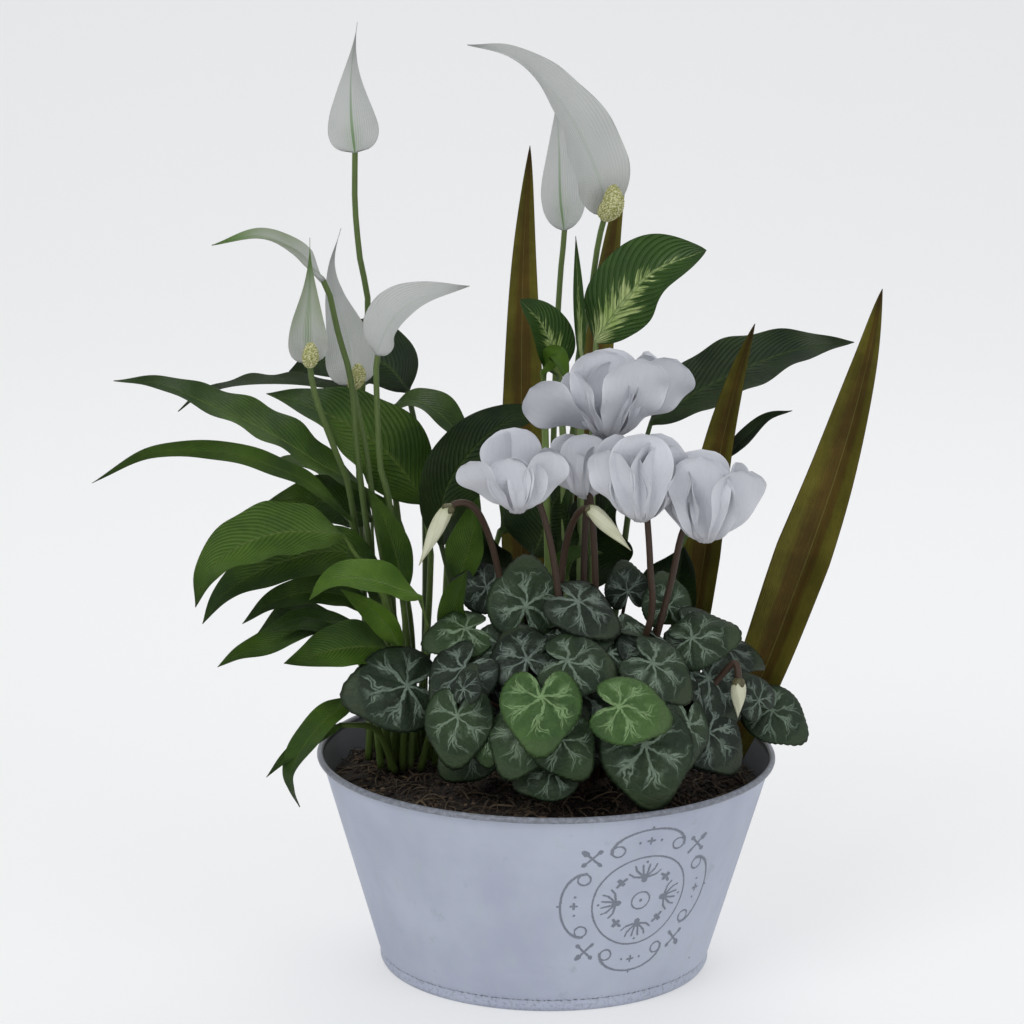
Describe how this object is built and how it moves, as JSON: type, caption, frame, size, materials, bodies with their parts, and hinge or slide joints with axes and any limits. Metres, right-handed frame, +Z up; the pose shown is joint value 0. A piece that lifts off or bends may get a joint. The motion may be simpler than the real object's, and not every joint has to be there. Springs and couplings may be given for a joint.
{
  "type": "potted live plants",
  "caption": "Mixed live plants in a round whitewashed zinc bowl: white cyclamen, peace lilies, streaked leaves and tall sword leaves",
  "frame": {"origin": "centre of the bowl's flat underside", "axes": "+Z up, -Y the front of the planting, +X to its right"},
  "size_m": [0.4286, 0.256, 0.5201],
  "materials": {
    "zinc": "matte whitewash",
    "soil": "rough",
    "tuber": "rough",
    "cyclamen_leaf": "satin",
    "lily_leaf": "gloss",
    "streaked_leaf": "satin",
    "sword_leaf": "satin",
    "petal": "satin"
  },
  "bodies": {
    "root": {"bowl_base": "zinc", "bowl_wall": "zinc", "cyclamen_bud_left": "petal", "cyclamen_bud_right": "petal", "cyclamen_flower_front": "petal", "cyclamen_flower_left": "petal", "cyclamen_flower_middle": "petal", "cyclamen_flower_right": "petal", "cyclamen_flower_top": "petal", "cyclamen_leaf_01": "cyclamen_leaf", "cyclamen_leaf_02": "cyclamen_leaf", "cyclamen_leaf_03": "cyclamen_leaf", "cyclamen_leaf_04": "cyclamen_leaf", "cyclamen_leaf_05": "cyclamen_leaf", "cyclamen_leaf_06": "cyclamen_leaf", "cyclamen_leaf_07": "cyclamen_leaf", "cyclamen_leaf_08": "cyclamen_leaf", "cyclamen_leaf_09": "cyclamen_leaf", "cyclamen_leaf_10": "cyclamen_leaf", "cyclamen_leaf_11": "cyclamen_leaf", "cyclamen_leaf_12": "cyclamen_leaf", "cyclamen_leaf_13": "cyclamen_leaf", "cyclamen_leaf_14": "cyclamen_leaf", "cyclamen_leaf_15": "cyclamen_leaf", "cyclamen_leaf_16": "cyclamen_leaf", "cyclamen_leaf_17": "cyclamen_leaf", "cyclamen_leaf_18": "cyclamen_leaf", "cyclamen_tuber": "tuber", "dark_leaf_left": "lily_leaf", "dark_leaf_right": "lily_leaf", "lily_flower_budding": "petal", "lily_flower_great": "petal", "lily_flower_greenish": "petal", "lily_flower_rear": "petal", "lily_flower_right": "petal", "lily_flower_tailed": "petal", "lily_flower_tall": "petal", "lily_leaf_arching_lower": "lily_leaf", "lily_leaf_arching_upper": "lily_leaf", "lily_leaf_back": "lily_leaf", "lily_leaf_broad": "lily_leaf", "lily_leaf_front": "lily_leaf", "lily_leaf_hanging": "lily_leaf", "lily_leaf_low_front": "lily_leaf", "lily_leaf_low_left": "lily_leaf", "lily_leaf_lower_left": "lily_leaf", "lily_leaf_middle_left": "lily_leaf", "lily_leaf_right_arm": "lily_leaf", "lily_leaf_side": "lily_leaf", "lily_leaf_thin_left": "lily_leaf", "lily_leaf_upper_left": "lily_leaf", "lily_leaf_upright": "lily_leaf", "lily_leaf_young": "lily_leaf", "potting_soil": "soil", "streaked_leaf_large": "streaked_leaf", "streaked_leaf_small": "streaked_leaf", "sword_leaf_behind": "sword_leaf", "sword_leaf_right": "sword_leaf", "sword_leaf_short": "sword_leaf", "sword_leaf_tall": "sword_leaf"}
  },
  "joints": []
}
